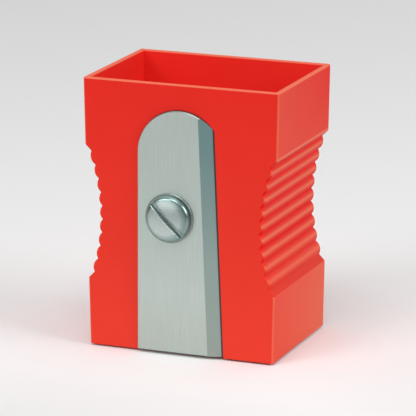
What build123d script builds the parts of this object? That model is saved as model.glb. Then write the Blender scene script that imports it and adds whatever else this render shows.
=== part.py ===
from build123d import *
import os
from itertools import pairwise
from math import asin, cos, radians, sin, sqrt, tan

os.makedirs("parts", exist_ok=True)

# A desk pen holder in the form of a large wedge pencil sharpener.
# Millimetres, +Z up. The blade faces -Y, and +X is on the right of someone who faces it.
# The origin is on the desk, under the middle of the whole object.

# Body shell: a moulded tube, a little wider at the rim than at the foot
overall_height = 104.0
rim_width = 78.0
base_width = 74.0
body_depth = 56.0
wall = 2.0
edge_chamfer = 0.6
rim_round = 0.5

# Hollow grip in each side, with a slanted ledge at both ends and horizontal ribs between them
grip_top = 78.2
grip_bottom = 26.6
grip_waist = 51.0
grip_depth = 6.4
grip_ledge = 2.4
rib_count = 9
rib_height = 1.2
valley_round = 0.35
shoulder_round = 1.2

# Blade plate: an arch-topped plate in a pocket of the front wall, with one side ground off at a slant
plate_top = 94.3
arch_radius = 16.6
plate_flare = 0.3
grind_inset = 2.8
grind_angle = 2.4
plate_thickness = 3.0
plate_proud = 1.4
plate_lift = 0.4
plate_gap = 0.2
plate_edge = 0.3
bevel_width = 5.5
bevel_drop = 1.8

# Screw with a slotted, domed head, and its washer
screw_height = 53.4
screw_x = -3.7
head_diameter = 17.4
head_height = 3.2
head_crown = 1.1
head_round = 1.6
slot_width = 2.0
slot_depth = 1.9
slot_angle = 45.0
shank_diameter = 6.0
shank_point = 0.8
tip_gap = 0.8
washer_diameter = 19.0
washer_thickness = 0.8
washer_edge = 0.2
hole_gap = 0.3

# Threaded insert in a blind boss behind the plate
insert_diameter = 8.6
insert_length = 8.0
insert_gap = 0.05
thread_gap = 0.05
boss_wall = 2.0
boss_chamfer = 0.8

# Floor of the cup, set into a rebate from below
floor_thickness = 2.4
floor_rebate = 1.0
floor_gap = 0.15

# Round foot pads, sunk part of the way into the floor
foot_diameter = 10.0
foot_thickness = 1.4
foot_proud = 0.8
foot_gap = 0.1
foot_inset = 12.0
foot_edge = 0.2

# The blade side reaches further out than the back, so the body stands back by half of that
front_reach = plate_proud + washer_thickness + head_height
front_y = (front_reach - body_depth) / 2
back_y = front_y + body_depth
middle_y = (front_y + back_y) / 2
shell_bottom = foot_proud
pocket_depth = plate_thickness - plate_proud
pocket_y = front_y + pocket_depth
plate_face_y = front_y - plate_proud
boss_y = pocket_y + insert_length + boss_wall


def half_width(height):
    """Half the body's width at a height over the desk."""
    share = (height - shell_bottom) / (overall_height - shell_bottom)
    return (base_width + (rim_width - base_width) * share) / 2


# The hollow of the grip is a circle from the foot of the upper ledge, past the waist, to the lower ledge
ribs_top = grip_top - grip_ledge
ribs_bottom = grip_bottom + grip_ledge
hollow = ThreePointArc(
    (half_width(ribs_top) - grip_ledge, ribs_top),
    (half_width(grip_waist) - grip_depth, grip_waist),
    (half_width(ribs_bottom) - grip_ledge, ribs_bottom),
)
hollow_radius = hollow.radius
hollow_x = hollow.arc_center.X
hollow_z = hollow.arc_center.Y
rib_pitch = (ribs_top - ribs_bottom) / rib_count
rib_ends = [ribs_top - rib_pitch * i for i in range(rib_count + 1)]


def hollow_point(height, lift=0.0):
    """A point of the hollow's circle, or of one that is smaller by lift, at the same angle."""
    angle = asin((height - hollow_z) / hollow_radius)
    reach = hollow_radius - lift
    return (hollow_x - reach * cos(angle), hollow_z + reach * sin(angle))


# The plate's left side runs straight on from the arch, and its right side cuts off the arch's shoulder
flare = radians(plate_flare)
grind = radians(grind_angle)
arch_centre = plate_top - arch_radius
grind_reach = arch_radius - grind_inset
plate_bottom = shell_bottom + plate_lift


def arch(bottom, margin=0.0):
    """The plate's closed outline from a height upwards, grown by a margin."""
    radius = arch_radius + margin
    reach = grind_reach + margin
    rise = sqrt(radius**2 - reach**2)
    drop = arch_centre - bottom
    left_shoulder = (-radius * cos(flare), arch_centre + radius * sin(flare))
    left_foot = (-radius / cos(flare) - drop * tan(flare), bottom)
    right_foot = (reach / cos(grind) + drop * tan(grind), bottom)
    right_corner = (
        reach * cos(grind) - rise * sin(grind),
        arch_centre + reach * sin(grind) + rise * cos(grind),
    )
    with BuildLine() as outline:
        Polyline(left_shoulder, left_foot, right_foot, right_corner)
        ThreePointArc(right_corner, (0, arch_centre + radius), left_shoulder)
    return outline.line


def front_plane(y):
    """An upright plane at a depth, facing the viewer, with its own X to the right and Y upwards."""
    return Plane.XZ.offset(-y)


def screw_plane(y):
    """An upright plane at a depth, facing the viewer, centred on the screw."""
    return Plane(origin=(screw_x, y, screw_height), x_dir=(1, 0, 0), z_dir=(0, -1, 0))


# Body shell
with BuildPart() as body_shell:
    # Outer form: the ribbed outline, run from the back to the front
    with BuildSketch(front_plane(back_y)) as outline:
        with BuildLine():
            Polyline(
                (0, shell_bottom),
                (half_width(shell_bottom), shell_bottom),
                (half_width(grip_bottom), grip_bottom),
                hollow_point(ribs_bottom),
            )
            for upper, lower in pairwise(rib_ends):
                crest = hollow_point((upper + lower) / 2, rib_height)
                ThreePointArc(hollow_point(lower), crest, hollow_point(upper))
            Polyline(
                hollow_point(ribs_top),
                (half_width(grip_top), grip_top),
                (half_width(overall_height), overall_height),
                (0, overall_height),
            )
            mirror(about=Plane.YZ)
        make_face()
        grip_corners = outline.vertices().filter_by_position(Axis.Y, grip_bottom, grip_top).group_by(Axis.Y)
        fillet(grip_corners[0] + grip_corners[-1], shoulder_round)
        valleys = outline.vertices().filter_by_position(Axis.Y, ribs_bottom, ribs_top)
        fillet(valleys, valley_round)
    extrude(amount=body_depth)
    outline_edges = body_shell.faces().filter_by(Axis.Y).edges()
    chamfer(outline_edges.filter_by(Axis.X, reverse=True), edge_chamfer)

    # Inside: follows the outside at one wall's thickness, open at both ends
    with BuildSketch(front_plane(back_y - wall)):
        with BuildLine():
            Polyline(
                (half_width(shell_bottom) - wall, shell_bottom),
                (half_width(overall_height) - wall, overall_height),
                (wall - half_width(overall_height), overall_height),
                (wall - half_width(shell_bottom), shell_bottom),
                close=True,
            )
        make_face()
        with Locations((hollow_x, hollow_z), (-hollow_x, hollow_z)):
            Circle(hollow_radius + wall, mode=Mode.SUBTRACT)
    extrude(amount=body_depth - 2 * wall, mode=Mode.SUBTRACT)

    # Rebate for the floor
    rebate_width = 2 * (half_width(shell_bottom) - wall + floor_rebate)
    rebate_depth = body_depth - 2 * (wall - floor_rebate)
    with BuildSketch(Plane.XY.offset(shell_bottom)):
        with Locations((0, middle_y)):
            Rectangle(rebate_width, rebate_depth)
    extrude(amount=floor_thickness, mode=Mode.SUBTRACT)

    # Wall behind the blade, its boss, and the pocket with the hole for the insert
    with BuildSketch(front_plane(front_y)):
        make_face(arch(shell_bottom, plate_gap + wall))
    extrude(amount=-(pocket_depth + wall))
    with BuildSketch(screw_plane(pocket_y)):
        Circle(insert_diameter / 2 + insert_gap + boss_wall)
    extrude(amount=pocket_y - boss_y)
    with BuildSketch(front_plane(front_y)):
        make_face(arch(shell_bottom, plate_gap))
    extrude(amount=-pocket_depth, mode=Mode.SUBTRACT)
    with BuildSketch(screw_plane(pocket_y)):
        Circle(insert_diameter / 2 + insert_gap)
    extrude(amount=-insert_length, mode=Mode.SUBTRACT)

    # Soft edges on the rim and on the end of the boss
    fillet(body_shell.faces().sort_by(Axis.Z)[-1].edges(), rim_round)
    boss_end = body_shell.faces().sort_by_distance((screw_x, boss_y, screw_height))[0]
    chamfer(boss_end.edges(), boss_chamfer)
body_shell.part.label = "body_shell"
export_step(body_shell.part, "parts/body_shell.step")

# Floor of the cup, notched round the wall behind the blade, with a seat for each foot
foot_grid = GridLocations(base_width - 2 * foot_inset, body_depth - 2 * foot_inset, 2, 2)
foot_places = [(spot.position.X, spot.position.Y + middle_y) for spot in foot_grid]
with BuildPart() as floor_panel:
    with BuildSketch(Plane.XY.offset(shell_bottom)):
        with Locations((0, middle_y)):
            Rectangle(rebate_width - 2 * floor_gap, rebate_depth - 2 * floor_gap)
    extrude(amount=floor_thickness)
    with BuildSketch(front_plane(front_y)):
        make_face(arch(shell_bottom, plate_gap + wall + floor_gap))
    extrude(amount=-(pocket_depth + wall + floor_gap), mode=Mode.SUBTRACT)
    with BuildSketch(Plane.XY.offset(shell_bottom)):
        with Locations(*foot_places):
            Circle(foot_diameter / 2 + foot_gap)
    extrude(amount=foot_thickness - foot_proud, mode=Mode.SUBTRACT)
floor_panel.part.label = "floor_panel"
export_step(floor_panel.part, "parts/floor_panel.step")

# Four foot pads
for x, y in foot_places:
    with BuildPart() as foot_pad:
        with BuildSketch():
            with Locations((x, y)):
                Circle(foot_diameter / 2)
        extrude(amount=foot_thickness)
        chamfer(foot_pad.faces().sort_by(Axis.Z)[0].edges(), foot_edge)
    row = "front" if y < middle_y else "rear"
    side = "left" if x < 0 else "right"
    foot_pad.part.label = f"foot_pad_{row}_{side}"
    export_step(foot_pad.part, f"parts/foot_pad_{row}_{side}.step")

# Threaded insert, flush with the floor of the pocket
with BuildPart() as thread_insert:
    with BuildSketch(screw_plane(pocket_y)):
        Circle(insert_diameter / 2)
        Circle(shank_diameter / 2 + thread_gap, mode=Mode.SUBTRACT)
    extrude(amount=-insert_length)
thread_insert.part.label = "thread_insert"
export_step(thread_insert.part, "parts/thread_insert.step")

# Blade plate: a flat bevel is ground along its right side, straight on through the arch
with BuildPart() as blade_plate:
    with BuildSketch(front_plane(pocket_y)):
        make_face(arch(plate_bottom))
    extrude(amount=plate_thickness)
    chamfer(blade_plate.faces().sort_by(Axis.Y)[0].edges(), plate_edge)
    with BuildSketch(screw_plane(pocket_y)):
        Circle(shank_diameter / 2 + hole_gap)
    extrude(amount=plate_thickness, mode=Mode.SUBTRACT)
    ridge_reach = grind_reach - bevel_width
    ridge_point = (ridge_reach * cos(grind), plate_face_y, arch_centre + ridge_reach * sin(grind))
    bevel_normal = (bevel_drop * cos(grind), -bevel_width, bevel_drop * sin(grind))
    bevel_plane = Plane(origin=ridge_point, z_dir=bevel_normal)
    split(bisect_by=bevel_plane, keep=Keep.BOTTOM)
blade_plate.part.label = "blade_plate"
export_step(blade_plate.part, "parts/blade_plate.step")

# Washer between the plate and the head
with BuildPart() as screw_washer:
    with BuildSketch(screw_plane(plate_face_y)):
        Circle(washer_diameter / 2)
        Circle(shank_diameter / 2 + hole_gap, mode=Mode.SUBTRACT)
    extrude(amount=washer_thickness)
    washer_face = screw_washer.faces().sort_by(Axis.Y)[0]
    chamfer(washer_face.outer_wire().edges(), washer_edge)
screw_washer.part.label = "screw_washer"
export_step(screw_washer.part, "parts/screw_washer.step")

# Screw: a turned head with a domed top and a round edge, a shank with a blunt point, and a sawn slot
seat_y = plate_face_y - washer_thickness
crown_y = seat_y - head_height
tip_y = pocket_y + insert_length - tip_gap
head_x = screw_x + head_diameter / 2
shank_x = screw_x + shank_diameter / 2
with BuildPart() as blade_screw:
    with BuildSketch(Plane.XY.offset(screw_height)) as half_profile:
        with BuildLine():
            crown = TangentArc((screw_x, crown_y), (head_x, crown_y + head_crown), tangent=(1, 0))
            Polyline(
                crown @ 1,
                (head_x, seat_y),
                (shank_x, seat_y),
                (shank_x, tip_y - shank_point),
                (shank_x - shank_point, tip_y),
                (screw_x, tip_y),
                crown @ 0,
            )
        make_face()
        fillet(half_profile.vertices().group_by(Axis.X)[-1].sort_by(Axis.Y)[0], head_round)
    revolve(axis=Axis((screw_x, 0, screw_height), (0, 1, 0)))
    with BuildSketch(screw_plane(crown_y)):
        Rectangle(2 * head_diameter, slot_width, rotation=-slot_angle)
    extrude(amount=-slot_depth, mode=Mode.SUBTRACT)
blade_screw.part.label = "blade_screw"
export_step(blade_screw.part, "parts/blade_screw.step")
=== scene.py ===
from math import asin, atan, cos, pi, radians, sin

import bmesh
import bpy
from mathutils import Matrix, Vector


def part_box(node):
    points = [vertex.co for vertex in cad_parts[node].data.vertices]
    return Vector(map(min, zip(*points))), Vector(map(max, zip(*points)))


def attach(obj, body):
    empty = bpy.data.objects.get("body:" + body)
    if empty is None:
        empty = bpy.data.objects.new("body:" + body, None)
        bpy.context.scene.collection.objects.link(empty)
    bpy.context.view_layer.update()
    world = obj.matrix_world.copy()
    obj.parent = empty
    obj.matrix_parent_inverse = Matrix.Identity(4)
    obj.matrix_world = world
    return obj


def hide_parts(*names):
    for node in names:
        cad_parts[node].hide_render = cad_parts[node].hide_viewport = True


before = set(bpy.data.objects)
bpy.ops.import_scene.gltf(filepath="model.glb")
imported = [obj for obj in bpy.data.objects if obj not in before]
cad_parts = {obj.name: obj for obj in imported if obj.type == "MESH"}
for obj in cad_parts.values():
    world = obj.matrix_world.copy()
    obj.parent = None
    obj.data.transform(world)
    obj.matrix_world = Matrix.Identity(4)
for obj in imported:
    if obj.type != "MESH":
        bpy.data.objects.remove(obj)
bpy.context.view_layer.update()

# Body shell
# One injection moulding in red ABS, a tube with a ribbed, waisted grip in each side and a blade pocket.
# It has a faint moulded skin. Its colour carries painted light: a painted sheen on its sides, painted
# highlights on its edges and rib crests, painted shade in its grooves and on its ledges, and a lighter
# inside.
plastic_red = (0.82, 0.022, 0.0155)
plastic_red_deep = (0.79, 0.020, 0.014)
rib_red = (0.81, 0.037, 0.0205)
# Painted light: a brighter red for the inside
lit_inside_red = (0.89, 0.028, 0.02)
# Painted shade for the grooves and the ledges, and a painted highlight for the rib crests
groove_shade_red = (0.82, 0.005, 0.002)
ledge_shade_red = (0.74, 0.034, 0.016)
# Painted sheen: a paler red for where the sides and the foot of the front would catch a reflection
painted_sheen_red = (0.82, 0.145, 0.076)
crest_highlight_red = (0.83, 0.155, 0.08)
# Painted highlight for the rim, the upright corners and the corner over the upper ledge
edge_highlight_red = (0.83, 0.165, 0.095)
tint_low = 0.3
tint_high = 0.7
cloud_scale = 28.0
cloud_detail = 3.0
satin_sheen = 0.06
satin_roughness = (0.42, 0.5)
satin_scale = 60.0
satin_detail = 1.0
skin_scale = 2600.0
skin_strength = 0.12
skin_depth = 0.00004
rib_count = 9
rib_foot = 0.0290
rib_top = 0.0758
grip_foot = 0.0266
grip_top = 0.0782
edge_width = 0.0005
ledge_edge_width = 0.0011
side_turn = (0.2, 0.4)
corner_turn = 0.3
shell_low, shell_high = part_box("body_shell")

# How much of the painted highlight shows on the corners, and how much painted sheen shows elsewhere at the
# foot and at the rim
corner_highlight = 0.6
front_sheen_share = (0.23, 0.04)
side_front_sheen_share = (0.40, 0.38)
side_rear_sheen_share = (1.0, 0.0)

# Colours across one rib, from its lower groove to its upper one: painted shade in the grooves and a painted
# highlight on the crest; the ledges take the first of them, also a painted shade.
# The lowest ribs show them by a smaller share, up to a height at which they show in full.
rib_share_foot = 0.5
rib_share_full = 0.044
rib_stops = [
    (0.0, ledge_shade_red),
    (0.03, groove_shade_red),
    (0.18, groove_shade_red),
    (0.4, rib_red),
    (0.56, crest_highlight_red),
    (0.64, crest_highlight_red),
    (0.8, rib_red),
    (0.97, groove_shade_red),
]


def dress(node, material):
    """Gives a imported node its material."""
    node.data.materials.clear()
    node.data.materials.append(material)


def new_material(name):
    """A material with nodes, its node tree and its Principled shader."""
    material = bpy.data.materials.new(name)
    material.use_nodes = True
    return material, material.node_tree, material.node_tree.nodes["Principled BSDF"]


def set_finish(tree, shader, colour, roughness, relief=None):
    """Gives a shader its colour, its roughness and, where it has one, its relief."""
    tree.links.new(colour, shader.inputs["Base Color"])
    tree.links.new(roughness, shader.inputs["Roughness"])
    if relief is not None:
        tree.links.new(relief, shader.inputs["Normal"])


def add_noise(tree, scale, detail=2.0, stretch=(1.0, 1.0, 1.0)):
    """A noise on Object coordinates, stretched along the axes of the part."""
    place = tree.nodes.new("ShaderNodeTexCoord")
    mapping = tree.nodes.new("ShaderNodeMapping")
    mapping.inputs["Scale"].default_value = stretch
    noise = tree.nodes.new("ShaderNodeTexNoise")
    noise.inputs["Scale"].default_value = scale
    noise.inputs["Detail"].default_value = detail
    tree.links.new(place.outputs["Object"], mapping.inputs["Vector"])
    tree.links.new(mapping.outputs["Vector"], noise.inputs["Vector"])
    return noise.outputs["Fac"]


def add_ramp(tree, factor, stops):
    """A colour ramp over a factor, with a position and a colour for each stop."""
    ramp = tree.nodes.new("ShaderNodeValToRGB")
    while len(ramp.color_ramp.elements) < len(stops):
        ramp.color_ramp.elements.new(0.5)
    for element, (position, colour) in zip(ramp.color_ramp.elements, stops):
        element.position = position
        element.color = (*colour, 1.0)
    tree.links.new(factor, ramp.inputs["Fac"])
    return ramp.outputs["Color"]


def add_tints(tree, factor, dark, light):
    """Two close tints of one finish, shared out by a factor."""
    return add_ramp(tree, factor, [(tint_low, dark), (tint_high, light)])


def add_range(tree, value, low, high, from_low=0.0, from_high=1.0):
    """Maps a value from one range onto another."""
    span = tree.nodes.new("ShaderNodeMapRange")
    span.inputs["From Min"].default_value = from_low
    span.inputs["From Max"].default_value = from_high
    span.inputs["To Min"].default_value = low
    span.inputs["To Max"].default_value = high
    tree.links.new(value, span.inputs["Value"])
    return span.outputs["Result"]


def add_bump(tree, height, strength, depth):
    """A relief from a height, with its depth in metres."""
    bump = tree.nodes.new("ShaderNodeBump")
    bump.inputs["Strength"].default_value = strength
    bump.inputs["Distance"].default_value = depth
    tree.links.new(height, bump.inputs["Height"])
    return bump.outputs["Normal"]


def add_math(tree, operation, *values):
    """A math node on values that are sockets or numbers."""
    node = tree.nodes.new("ShaderNodeMath")
    node.operation = operation
    for socket, value in zip(node.inputs, values):
        if isinstance(value, bpy.types.NodeSocket):
            tree.links.new(value, socket)
        else:
            socket.default_value = value
    return node.outputs["Value"]


def add_blend(tree, share, first, second):
    """Goes from one value to another by a share."""
    return add_math(tree, "MULTIPLY_ADD", share, add_math(tree, "SUBTRACT", second, first), first)


def add_mix(tree, factor, first, second):
    """Mixes two colours, sockets or plain ones, by a factor."""
    mix = tree.nodes.new("ShaderNodeMix")
    mix.data_type = "RGBA"
    tree.links.new(factor, mix.inputs["Factor"])
    for socket, colour in ((mix.inputs["A"], first), (mix.inputs["B"], second)):
        if isinstance(colour, bpy.types.NodeSocket):
            tree.links.new(colour, socket)
        else:
            socket.default_value = (*colour, 1.0)
    return mix.outputs["Result"]


def add_place(tree):
    """Where a point of the surface is and which way it faces, each split along the axes of the part."""
    surface = tree.nodes.new("ShaderNodeTexCoord")
    split = []
    for output in ("Object", "Normal"):
        node = tree.nodes.new("ShaderNodeSeparateXYZ")
        tree.links.new(surface.outputs[output], node.inputs["Vector"])
        split.append(node.outputs)
    return split


moulded_red, tree, shader = new_material("moulded_red")
at, facing = add_place(tree)

# Where the surface is a side, the inside or a rib
from_middle = add_math(tree, "SUBTRACT", at["Y"], (shell_low.y + shell_high.y) / 2)
outward_x = add_math(tree, "MULTIPLY", add_math(tree, "SIGN", at["X"]), facing["X"])
outward_y = add_math(tree, "MULTIPLY", add_math(tree, "SIGN", from_middle), facing["Y"])
on_side = add_range(tree, outward_x, 0.0, 1.0, *side_turn)
on_inside = add_math(tree, "LESS_THAN", add_math(tree, "MINIMUM", outward_x, outward_y), -corner_turn)
from_waist = add_math(tree, "ABSOLUTE", add_math(tree, "SUBTRACT", at["Z"], (grip_foot + grip_top) / 2))
in_grip = add_math(tree, "LESS_THAN", from_waist, (grip_top - grip_foot) / 2)
on_lower_ledge = add_math(tree, "LESS_THAN", at["Z"], rib_foot)
rib_share = add_range(tree, at["Z"], rib_share_foot, 1.0, rib_foot, rib_share_full)
rib_share = add_math(tree, "MULTIPLY", add_math(tree, "MAXIMUM", rib_share, on_lower_ledge), in_grip)
on_ribs = add_math(tree, "MULTIPLY", on_side, rib_share)
up_the_rib = add_math(tree, "FRACT", add_range(tree, at["Z"], 0.0, rib_count, rib_foot, rib_top))

# Where a painted highlight runs along an edge: over the upper ledge, on an upright corner or on the rim
over_grip = add_math(tree, "SUBTRACT", at["Z"], grip_top + ledge_edge_width / 2)
at_ledge = add_math(tree, "LESS_THAN", add_math(tree, "ABSOLUTE", over_grip), ledge_edge_width / 2)
on_ledge = add_math(tree, "MULTIPLY", on_side, at_ledge)
slanted = add_math(tree, "ABSOLUTE", add_math(tree, "MULTIPLY", facing["X"], facing["Y"]))
on_corner = add_math(tree, "GREATER_THAN", slanted, corner_turn)
on_corner = add_math(tree, "MULTIPLY", on_corner, add_range(tree, in_grip, corner_highlight, 0.0))
on_rim = add_math(tree, "GREATER_THAN", at["Z"], shell_high.z - edge_width)
on_edge = add_math(tree, "MAXIMUM", on_rim, add_math(tree, "MAXIMUM", on_ledge, on_corner))

# How much painted sheen it takes: little on the front, more on the sides, most at their rear foot
toward_rear = add_range(tree, at["Y"], 0.0, 1.0, shell_low.y, shell_high.y)
front_sheen = add_range(tree, at["Z"], *front_sheen_share, shell_low.z, shell_high.z)
side_front_sheen = add_range(tree, at["Z"], *side_front_sheen_share, shell_low.z, shell_high.z)
side_rear_sheen = add_range(tree, at["Z"], *side_rear_sheen_share, shell_low.z, shell_high.z)
side_sheen = add_blend(tree, toward_rear, side_front_sheen, side_rear_sheen)
painted_sheen = add_blend(tree, on_side, front_sheen, side_sheen)

moulded = add_tints(tree, add_noise(tree, cloud_scale, cloud_detail), plastic_red_deep, plastic_red)
# Painted sheen: paler on the sides and toward the foot
moulded = add_mix(tree, painted_sheen, moulded, painted_sheen_red)
# Painted light: the inside is a brighter red than the outside
moulded = add_mix(tree, on_inside, moulded, lit_inside_red)
# Painted shade in the grooves and on the ledges, and a painted highlight on the rib crests
moulded = add_mix(tree, on_ribs, moulded, add_ramp(tree, up_the_rib, rib_stops))
# Painted highlight along the edges
moulded = add_mix(tree, on_edge, moulded, edge_highlight_red)
roughness = add_range(tree, add_noise(tree, satin_scale, satin_detail), *satin_roughness)
skin = add_bump(tree, add_noise(tree, skin_scale), skin_strength, skin_depth)
set_finish(tree, shader, moulded, roughness, skin)
shader.inputs["Specular IOR Level"].default_value = satin_sheen
dress(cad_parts["body_shell"], moulded_red)

# Floor panel
# A flat lid moulded in the same red ABS, pushed up into a rebate round the foot of the shell and glued there.
# Its four round seats take the foot pads.
dress(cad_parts["floor_panel"], moulded_red)

# Foot pads
# Four round pads, die-cut from black rubber sheet and stuck into the seats of the floor.
# Their faces are dull and a little dusty, and they keep the holder from sliding on the desk.
rubber_black = (0.016, 0.016, 0.017)
rubber_dusty = (0.034, 0.033, 0.032)
rubber_roughness = (0.72, 0.9)
rubber_scale = 3200.0
rubber_strength = 0.35
rubber_depth = 0.00006
dust_scale = 420.0
dust_detail = 5.0
dust_stops = [(0.35, rubber_black), (0.75, rubber_dusty)]
foot_rubber, tree, shader = new_material("foot_rubber")
dust = add_noise(tree, dust_scale, dust_detail)
roughness = add_range(tree, dust, *rubber_roughness)
sheet_grain = add_bump(tree, add_noise(tree, rubber_scale), rubber_strength, rubber_depth)
set_finish(tree, shader, add_ramp(tree, dust, dust_stops), roughness, sheet_grain)
for row in ("front", "rear"):
    for side in ("left", "right"):
        dress(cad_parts[f"foot_pad_{row}_{side}"], foot_rubber)

# Thread insert
# A bush turned from brass bar and pressed into the boss behind the blade, flush with the floor of the pocket.
# It holds the thread that the screw bites into.
brass_bright = (0.74, 0.53, 0.21)
brass_dull = (0.55, 0.36, 0.13)
brass_roughness = (0.22, 0.36)
ring_scale = 900.0
ring_detail = 2.0
ring_stretch = (0.15, 1.0, 0.15)
turned_brass, tree, shader = new_material("turned_brass")
rings = add_noise(tree, ring_scale, ring_detail, ring_stretch)
roughness = add_range(tree, rings, *brass_roughness)
set_finish(tree, shader, add_tints(tree, rings, brass_dull, brass_bright), roughness)
shader.inputs["Metallic"].default_value = 1.0
dress(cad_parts["thread_insert"], turned_brass)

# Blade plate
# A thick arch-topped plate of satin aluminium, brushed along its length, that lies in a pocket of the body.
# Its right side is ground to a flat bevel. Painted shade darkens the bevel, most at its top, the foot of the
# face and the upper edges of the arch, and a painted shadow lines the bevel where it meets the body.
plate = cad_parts["blade_plate"]
plate_low, plate_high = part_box("blade_plate")
satin_light = (0.58, 0.665, 0.62)
satin_dark = (0.53, 0.605, 0.565)
# Painted shade: darker tints for the foot of the face
foot_shade_light = (0.50, 0.572, 0.533)
foot_shade_dark = (0.455, 0.52, 0.486)
foot_shade_rise = 0.25
# Painted shade: a darker grey for the upward-facing edges of the arch
arch_shade_grey = (0.33, 0.385, 0.36)
# Painted shadow: a dark line along the bevel where it meets the body
crevice_shadow_grey = (0.09, 0.075, 0.07)
crevice_shadow_depth = 0.0002
# Painted shade: the bevel is darker than the face, most at its top
bevel_shade_top = (0.235, 0.38, 0.38)
bevel_shade_middle = (0.35, 0.455, 0.425)
bevel_shade_foot = (0.34, 0.42, 0.38)
bevel_shade_stops = [(0.05, bevel_shade_foot), (0.4, bevel_shade_middle), (0.85, bevel_shade_top)]
bevel_turn = 0.2
bevel_depth_limit = 0.00004
edge_turn = -0.9
arch_turn = 0.2
brush_scale = 3000.0
brush_detail = 3.0
brush_stretch = (1.0, 1.0, 0.02)
brush_strength = 0.1
brush_depth = 0.00003
plate_roughness = (0.36, 0.46)
plate_metal = 0.85


def add_vector_math(tree, operation, vector, fixed):
    """A vector math node on a socket and a fixed vector."""
    node = tree.nodes.new("ShaderNodeVectorMath")
    node.operation = operation
    tree.links.new(vector, node.inputs[0])
    node.inputs[1].default_value = fixed
    return node


faces_right = [face for face in plate.data.polygons if face.normal.x > bevel_turn]
bevel_faces = [face for face in faces_right if face.normal.y < edge_turn]
bevel = max(bevel_faces, key=lambda face: face.area)
satin_plate, tree, shader = new_material("satin_plate")
at, facing = add_place(tree)
place = tree.nodes.new("ShaderNodeTexCoord").outputs["Object"]
over_bevel = add_vector_math(tree, "DOT_PRODUCT", place, bevel.normal).outputs["Value"]
off_bevel = add_math(tree, "ABSOLUTE", add_math(tree, "SUBTRACT", over_bevel, bevel.normal.dot(bevel.center)))
on_bevel = add_math(tree, "LESS_THAN", off_bevel, bevel_depth_limit)
on_edge = add_math(tree, "GREATER_THAN", facing["Y"], edge_turn)
on_arch = add_math(tree, "MULTIPLY", on_edge, add_math(tree, "GREATER_THAN", facing["Z"], arch_turn))
in_crevice = add_math(tree, "GREATER_THAN", at["Y"], shell_low.y + crevice_shadow_depth)
rise = add_range(tree, at["Z"], 0.0, 1.0, plate_low.z, plate_high.z)
brushing = add_noise(tree, brush_scale, brush_detail, brush_stretch)
bright_face = add_tints(tree, brushing, satin_dark, satin_light)
shaded_face = add_tints(tree, brushing, foot_shade_dark, foot_shade_light)
# Painted shade: the face is darker at its foot
face_colour = add_mix(tree, add_range(tree, rise, 0.0, 1.0, 0.0, foot_shade_rise), shaded_face, bright_face)
# Painted shadow along the bevel where it meets the body
bevel_colour = add_mix(tree, in_crevice, add_ramp(tree, rise, bevel_shade_stops), crevice_shadow_grey)
# The bevel takes its painted shade
plate_colour = add_mix(tree, on_bevel, face_colour, bevel_colour)
# Painted shade on the upward-facing edges of the arch, in place of the light they would catch
plate_colour = add_mix(tree, on_arch, plate_colour, arch_shade_grey)
roughness = add_range(tree, brushing, *plate_roughness)
set_finish(tree, shader, plate_colour, roughness, add_bump(tree, brushing, brush_strength, brush_depth))
shader.inputs["Metallic"].default_value = plate_metal
dress(plate, satin_plate)

# Washer
# A flat washer stamped from steel sheet, with its outer edge broken by tumbling, its colour darkened by
# painted shade.
# It is loose on the shank between the head and the plate, and comes out with the screw.
# Painted shade: dark tints, for the dark ring round the head
steel_light = (0.34, 0.395, 0.38)
steel_dark = (0.24, 0.285, 0.275)
steel_roughness = (0.3, 0.42)
tumble_scale = 1500.0
tumble_detail = 3.0
washer_steel, tree, shader = new_material("washer_steel")
tumble = add_noise(tree, tumble_scale, tumble_detail)
roughness = add_range(tree, tumble, *steel_roughness)
# Painted shade in the washer's colour
set_finish(tree, shader, add_tints(tree, tumble, steel_dark, steel_light), roughness)
shader.inputs["Metallic"].default_value = 1.0
dress(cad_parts["screw_washer"], washer_steel)

# Screw
# A slotted screw with a domed head, turned from steel bar and nickel plated, with a rolled M6 thread.
# It goes through the washer and the plate into the insert. Painted shade darkens its slot and the edge of its
# head.
nickel_light = (0.62, 0.71, 0.685)
nickel_dark = (0.48, 0.565, 0.545)
# Painted shade: the darker nickel for the slot, the edge of the head and the face away from its painted
# highlight
nickel_shade = (0.265, 0.375, 0.36)
nickel_roughness = (0.2, 0.32)
# Painted shade: how far the slot darkens, at its floor
slot_shade = 0.45
lathe_scale = 5200.0
lathe_detail = 2.0
lathe_strength = 0.08
lathe_depth = 0.00003
screw_low, screw_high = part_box("blade_screw")
head_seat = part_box("screw_washer")[0].y
head_radius = (screw_high.x - screw_low.x) / 2
head_height = 0.0032
head_crown = 0.0011
head_round = 0.0016
head_break = 0.00015
head_steps = 96
head_rings = 40
# Painted highlight: where the head is brightest, a little to the left of and above its middle
shine_shift = (-0.0009, 0.0, 0.0003)
shaded_face = (head_radius - 0.0026, head_radius - 0.0004)
shaded_edge = (head_radius - 0.0017, head_radius - 0.0011)
smooth_turn = radians(28.0)
weld_gap = 1e-7
slot_width = 0.0020
slot_depth = 0.0019
slot_break = 0.00025
slot_least_wall = 0.00002
slot_turn = radians(-45.0)
saw_clear = 0.0005
saw_overrun = 1.1
saw_steps = 44
thread_radius = 0.0030
thread_core = 0.00244
thread_pitch = 0.0010
thread_flank = 0.00044
thread_runout = 0.5
thread_least = 0.05
thread_start = 0.0001
thread_end = 0.0005
thread_steps = 48
thread_lie = (radians(-90.0), 0.0, 0.0)
shank_point = 0.0008
crown = Vector(((screw_low.x + screw_high.x) / 2, head_seat - head_height, (screw_low.z + screw_high.z) / 2))
screw_length = screw_high.y - crown.y
dome_radius = (head_radius**2 + head_crown**2) / (2 * head_crown)
dome_turn = asin((head_radius - head_round) / (dome_radius - head_round))
round_depth = dome_radius - (dome_radius - head_round) * cos(dome_turn)


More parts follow.
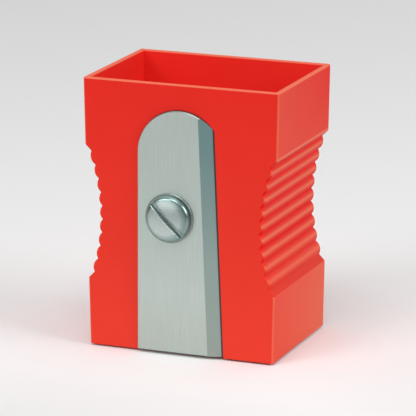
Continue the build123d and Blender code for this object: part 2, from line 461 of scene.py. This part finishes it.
def head_depth(radius):
    """How far the top of the head lies below its crown, at a radius."""
    if radius <= dome_radius * sin(dome_turn):
        return dome_radius - (dome_radius**2 - radius**2) ** 0.5
    reach = min(radius, head_radius) - (head_radius - head_round)
    return round_depth - (head_round**2 - reach**2) ** 0.5


def mesh_object(name, mesh):
    """A new object for a mesh, in the scene."""
    piece = bpy.data.objects.new(name, mesh)
    bpy.context.scene.collection.objects.link(piece)
    return piece


def turned_blank():
    """The screw before its slot and thread, spun from its half profile."""
    radii = [head_radius * sin(pi / 2 * ring / head_rings) for ring in range(head_rings + 1)]
    profile = [(radius, head_depth(radius)) for radius in radii]
    profile += [
        (head_radius, head_height - head_break),
        (head_radius - head_break, head_height),
        (thread_core, head_height),
        (thread_core, screw_length - shank_point),
        (thread_core - shank_point, screw_length),
        (0.0, screw_length),
    ]
    blank = bmesh.new()
    corners = [blank.verts.new(crown + Vector((radius, depth, 0.0))) for radius, depth in profile]
    edges = [blank.edges.new(pair) for pair in zip(corners, corners[1:])]
    bmesh.ops.spin(
        blank,
        geom=corners + edges,
        cent=crown,
        axis=(0.0, 1.0, 0.0),
        angle=2 * pi,
        steps=head_steps,
    )
    bmesh.ops.remove_doubles(blank, verts=blank.verts, dist=weld_gap)
    bmesh.ops.recalc_face_normals(blank, faces=blank.faces)
    mesh = bpy.data.meshes.new("turned_blank")
    blank.to_mesh(mesh)
    blank.free()
    return mesh_object("turned_blank", mesh)


def slot_saw():
    """What the saw takes away: the slot, with a broken edge that follows the dome."""
    along = Vector((cos(slot_turn), 0.0, sin(slot_turn)))
    across = Vector((-sin(slot_turn), 0.0, cos(slot_turn)))
    half = slot_width / 2
    saw = bmesh.new()
    rows = []
    for step in range(saw_steps + 1):
        travel = (2 * step / saw_steps - 1) * saw_overrun * head_radius
        top = head_depth(abs(travel))
        wall = min(top + slot_break, slot_depth - slot_least_wall)
        wide = half + wall - top + saw_clear
        section = [(half, slot_depth), (half, wall), (wide, top - saw_clear)]
        section += [(-offset, depth) for offset, depth in reversed(section)]
        middle = crown + along * travel
        places = [middle + across * offset + Vector((0.0, depth, 0.0)) for offset, depth in section]
        rows.append([saw.verts.new(place) for place in places])
    for row, following in zip(rows, rows[1:]):
        for i in range(len(row)):
            j = (i + 1) % len(row)
            saw.faces.new((row[i], row[j], following[j], following[i]))
    saw.faces.new(rows[0])
    saw.faces.new(rows[-1])
    bmesh.ops.recalc_face_normals(saw, faces=saw.faces)
    mesh = bpy.data.meshes.new("slot_saw")
    saw.to_mesh(mesh)
    saw.free()
    return mesh_object("slot_saw", mesh)


def thread_roller(material):
    """A node tree that rolls a thread onto a turned blank, and its inputs by name."""
    group = bpy.data.node_groups.new("thread_roller", "GeometryNodeTree")
    inputs = {"Blank": group.interface.new_socket("Blank", in_out="INPUT", socket_type="NodeSocketGeometry")}
    for name in ("Pitch", "Turns", "Core Radius", "Crest Height", "Flank", "Runout"):
        inputs[name] = group.interface.new_socket(name, in_out="INPUT", socket_type="NodeSocketFloat")
    inputs["Start"] = group.interface.new_socket("Start", in_out="INPUT", socket_type="NodeSocketVector")
    group.interface.new_socket("Screw", in_out="OUTPUT", socket_type="NodeSocketGeometry")

    def add(kind, **settings):
        node = group.nodes.new(kind)
        for key, value in settings.items():
            setattr(node, key, value)
        return node

    def link(output, target):
        group.links.new(output, target)

    # A helix on the core of the shank
    given = add("NodeGroupInput").outputs
    helix = add("GeometryNodeCurveSpiral")
    helix.inputs["Resolution"].default_value = thread_steps
    link(given["Turns"], helix.inputs["Rotations"])
    link(given["Core Radius"], helix.inputs["Start Radius"])
    link(given["Core Radius"], helix.inputs["End Radius"])
    link(add_math(group, "MULTIPLY", given["Turns"], given["Pitch"]), helix.inputs["Height"])
    upright = add("GeometryNodeSetCurveNormal", mode="Z_UP")
    link(helix.outputs["Curve"], upright.inputs["Curve"])

    # The ridge grows from nothing at both ends
    along = add("GeometryNodeSplineParameter").outputs["Factor"]
    from_end = add_math(group, "MINIMUM", along, add_math(group, "SUBTRACT", 1.0, along))
    turns_in = add_math(group, "MULTIPLY", from_end, given["Turns"])
    grown = add_math(group, "DIVIDE", turns_in, given["Runout"])
    grown = add_math(group, "MINIMUM", add_math(group, "MAXIMUM", grown, thread_least), 1.0)
    swell = add("GeometryNodeSetCurveRadius")
    link(upright.outputs["Curve"], swell.inputs["Curve"])
    link(grown, swell.inputs["Radius"])

    # Its section is a kite, half of it sunk in the core
    ridge = add("GeometryNodeCurvePrimitiveQuadrilateral", mode="KITE")
    link(add_math(group, "MULTIPLY", given["Crest Height"], 2.0), ridge.inputs["Width"])
    link(given["Flank"], ridge.inputs["Bottom Height"])
    link(given["Flank"], ridge.inputs["Top Height"])
    sweep = add("GeometryNodeCurveToMesh")
    sweep.inputs["Fill Caps"].default_value = True
    link(swell.outputs["Curve"], sweep.inputs["Curve"])
    link(ridge.outputs["Curve"], sweep.inputs["Profile Curve"])

    # Laid along the screw and joined to the blank
    turned = add("GeometryNodeTransform")
    turned.inputs["Rotation"].default_value = thread_lie
    link(sweep.outputs["Mesh"], turned.inputs["Geometry"])
    link(given["Start"], turned.inputs["Translation"])
    joined = add("GeometryNodeMeshBoolean", operation="UNION", solver="MANIFOLD")
    link(given["Blank"], joined.inputs["Mesh 2"])
    link(turned.outputs["Geometry"], joined.inputs["Mesh 2"])
    realized = add("GeometryNodeRealizeInstances")
    link(joined.outputs["Mesh"], realized.inputs["Geometry"])
    finish = add("GeometryNodeSetMaterial")
    finish.inputs["Material"].default_value = material
    link(realized.outputs["Geometry"], finish.inputs["Geometry"])
    link(finish.outputs["Geometry"], add("NodeGroupOutput").inputs["Screw"])
    return group, inputs


def finished_mesh(piece):
    """The piece's mesh with its modifiers done."""
    state = bpy.context.evaluated_depsgraph_get()
    return bpy.data.meshes.new_from_object(piece.evaluated_get(state))


# Plating: turning marks round the axis; painted shade in the slot, at the edge and away from a painted
# highlight a little off the middle
screw_nickel, tree, shader = new_material("screw_nickel")
place = tree.nodes.new("ShaderNodeTexCoord").outputs["Object"]
from_crown = add_vector_math(tree, "SUBTRACT", place, crown).outputs["Vector"]
across_axis = add_vector_math(tree, "MULTIPLY", from_crown, (1.0, 0.0, 1.0)).outputs["Vector"]
radius = add_vector_math(tree, "LENGTH", across_axis, (0.0, 0.0, 0.0)).outputs["Value"]
lathe = tree.nodes.new("ShaderNodeTexNoise")
lathe.noise_dimensions = "1D"
lathe.inputs["Scale"].default_value = lathe_scale
lathe.inputs["Detail"].default_value = lathe_detail
tree.links.new(radius, lathe.inputs["W"])
marks = lathe.outputs["Fac"]
bright = add_tints(tree, marks, nickel_dark, nickel_light)
from_shine = add_vector_math(tree, "SUBTRACT", across_axis, shine_shift).outputs["Vector"]
off_shine = add_vector_math(tree, "LENGTH", from_shine, (0.0, 0.0, 0.0)).outputs["Value"]
on_shaded_face = add_range(tree, off_shine, 0.0, 1.0, *shaded_face)
on_shaded_edge = add_range(tree, radius, 0.0, 1.0, *shaded_edge)
on_shaded_head = add_math(tree, "MAXIMUM", on_shaded_face, on_shaded_edge)
depth = tree.nodes.new("ShaderNodeSeparateXYZ")
tree.links.new(from_crown, depth.inputs["Vector"])
# Painted shade in the slot, darker toward its floor
in_slot = add_range(tree, depth.outputs["Y"], 0.0, slot_shade, slot_depth / 2, slot_depth)
in_head = add_math(tree, "LESS_THAN", depth.outputs["Y"], (slot_depth + head_height) / 2)
painted_shade = add_math(tree, "MAXIMUM", on_shaded_head, add_math(tree, "MULTIPLY", in_slot, in_head))
# Painted shade and painted highlight on the plating
nickel = add_mix(tree, painted_shade, bright, nickel_shade)
roughness = add_range(tree, marks, *nickel_roughness)
set_finish(tree, shader, nickel, roughness, add_bump(tree, marks, lathe_strength, lathe_depth))
shader.inputs["Metallic"].default_value = 1.0

# Made in the order of the workshop: turned, sawn, then rolled
blank = turned_blank()
saw = slot_saw()
sawn = blank.modifiers.new("slot", "BOOLEAN")
sawn.operation = "DIFFERENCE"
sawn.solver = "MANIFOLD"
sawn.object = saw
roller, roller_inputs = thread_roller(screw_nickel)
thread_length = screw_length - head_height - thread_start - thread_end
thread = blank.modifiers.new("thread", "NODES")
thread.node_group = roller
for name, value in (
    ("Pitch", thread_pitch),
    ("Turns", thread_length / thread_pitch),
    ("Core Radius", thread_core),
    ("Crest Height", thread_radius - thread_core),
    ("Flank", thread_flank),
    ("Runout", thread_runout),
    ("Start", crown + Vector((0.0, head_height + thread_start, 0.0))),
):
    thread[roller_inputs[name].identifier] = value
screw_mesh = finished_mesh(blank)
for helper in (blank, saw):
    bpy.data.objects.remove(helper)
screw_mesh.shade_smooth()
screw_mesh.set_sharp_from_angle(angle=smooth_turn)
slotted_screw = mesh_object("slotted_screw", screw_mesh)
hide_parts("blade_screw")
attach(slotted_screw, "screw")

# Studio
# A wide pale floor under soft boxes, seen by the camera from the front, a little from the right and above.
# The floor is greyer in front and on the right, so that the metal and the ribs don't mirror white there.
floor_pale = (0.90, 0.90, 0.90)
floor_grey = (0.38, 0.38, 0.38)
floor_reach = 6.0
floor_roughness = 0.8
floor_sheen = 0.1
grey_front = (-0.36, -0.06)
grey_right = (0.06, 0.3)
grey_right_share = 0.5
floor_mesh = bpy.data.meshes.new("studio_floor")
corners = [(x * floor_reach, y * floor_reach, 0.0) for x, y in ((-1, -1), (1, -1), (1, 1), (-1, 1))]
floor_mesh.from_pydata(corners, [], [(0, 1, 2, 3)])
studio_floor = mesh_object("studio_floor", floor_mesh)
pale_floor, tree, shader = new_material("pale_floor")
at = add_place(tree)[0]
in_front = add_range(tree, at["Y"], 1.0, 0.0, *grey_front)
on_right = add_range(tree, at["X"], 0.0, grey_right_share, *grey_right)
greyed = add_math(tree, "MAXIMUM", in_front, on_right)
tree.links.new(add_ramp(tree, greyed, [(0.0, floor_pale), (1.0, floor_grey)]), shader.inputs["Base Color"])
shader.inputs["Roughness"].default_value = floor_roughness
shader.inputs["Specular IOR Level"].default_value = floor_sheen
floor_mesh.materials.append(pale_floor)

sky_white = (1.0, 1.0, 1.0, 1.0)
sky_low = 0.25
sky_high = 0.6
world = bpy.data.worlds.new("studio_world")
bpy.context.scene.world = world
world.use_nodes = True
tree = world.node_tree
sky = tree.nodes["Background"]
sky.inputs["Color"].default_value = sky_white
split = tree.nodes.new("ShaderNodeSeparateXYZ")
tree.links.new(tree.nodes.new("ShaderNodeTexCoord").outputs["Generated"], split.inputs["Vector"])
tree.links.new(add_range(tree, split.outputs["Z"], sky_low, sky_high), sky.inputs["Strength"])

lamp_target = Vector((0.0, 0.003, 0.05))


def soft_box(name, place, width, height, power):
    """A soft box at a place, turned to the middle of the holder, with its power in watts."""
    lamp = bpy.data.lights.new(name, "AREA")
    lamp.shape = "RECTANGLE"
    lamp.size = width
    lamp.size_y = height
    lamp.energy = power
    box = bpy.data.objects.new(name, lamp)
    box.location = place
    box.rotation_euler = (lamp_target - box.location).to_track_quat("-Z", "Y").to_euler()
    box.visible_camera = False
    bpy.context.scene.collection.objects.link(box)


soft_box("key_left", place=(-0.7, -1.15, 0.85), width=0.7, height=0.7, power=6.6)
soft_box("side_right", place=(1.25, -0.2, 0.8), width=0.7, height=0.7, power=8.0)
soft_box("back_strip", place=(0.45, 1.4, 0.33), width=1.4, height=0.6, power=2.6)
soft_box("overhead", place=(0.05, -0.4, 0.8), width=0.4, height=0.4, power=2.0)
soft_box("front_card", place=(-0.46, -1.2, 0.2), width=0.7, height=0.34, power=0.7)

camera_turn = radians(21.6)
camera_rise = radians(14.6)
camera_distance = 1.248
camera_target = Vector((0.0, 0.0027, 0.0505))
view_height = 0.158
sensor_width = 36.0
camera_data = bpy.data.cameras.new("camera")
camera_data.sensor_width = sensor_width
camera_data.angle = 2 * atan(view_height / 2 / camera_distance)
camera = bpy.data.objects.new("camera", camera_data)
sight = Vector((sin(camera_turn) * cos(camera_rise), -cos(camera_turn) * cos(camera_rise), sin(camera_rise)))
camera.location = camera_target + sight * camera_distance
camera.rotation_euler = (-sight).to_track_quat("-Z", "Y").to_euler()
bpy.context.scene.collection.objects.link(camera)
bpy.context.scene.camera = camera
bpy.context.scene.view_settings.view_transform = "Standard"
